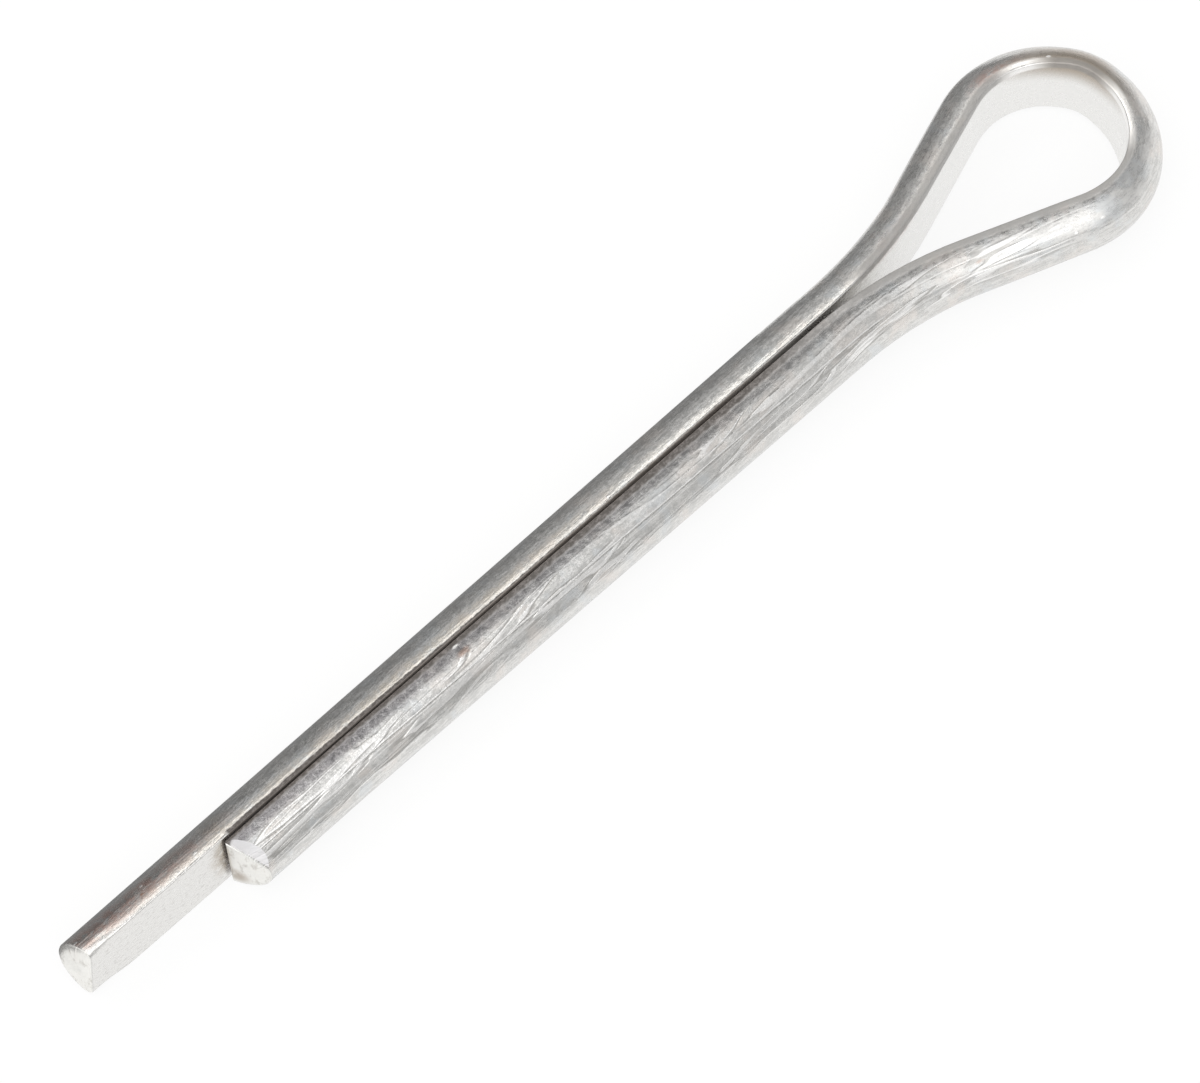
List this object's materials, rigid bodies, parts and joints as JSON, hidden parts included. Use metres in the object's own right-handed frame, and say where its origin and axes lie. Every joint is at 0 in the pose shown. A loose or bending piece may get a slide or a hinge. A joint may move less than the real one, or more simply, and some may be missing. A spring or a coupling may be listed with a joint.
{
  "type": "cotter pin",
  "caption": "Extended-prong cotter pin: half-round wire folded into a teardrop eye and unequal legs that lie flat to flat as a round split shank.",
  "frame": {"origin": "on the shank's axis at the seat, the section where the flare of the eye has the width of the hole and meets its rim", "axes": "+X along the shank, from the eye to the tips of the legs; +Y from the long leg to the short leg, in the plane of the bends; +Z across the flats of the wire, up when the pin lies on a table"},
  "size_m": [0.0515, 0.0085, 0.003],
  "materials": {
    "wire": "zinc-plated satin steel with fine drawing scratches, a rust speck and slight discolouring at the eye"
  },
  "bodies": {
    "root": {"cotter_pin": "wire"}
  },
  "joints": []
}
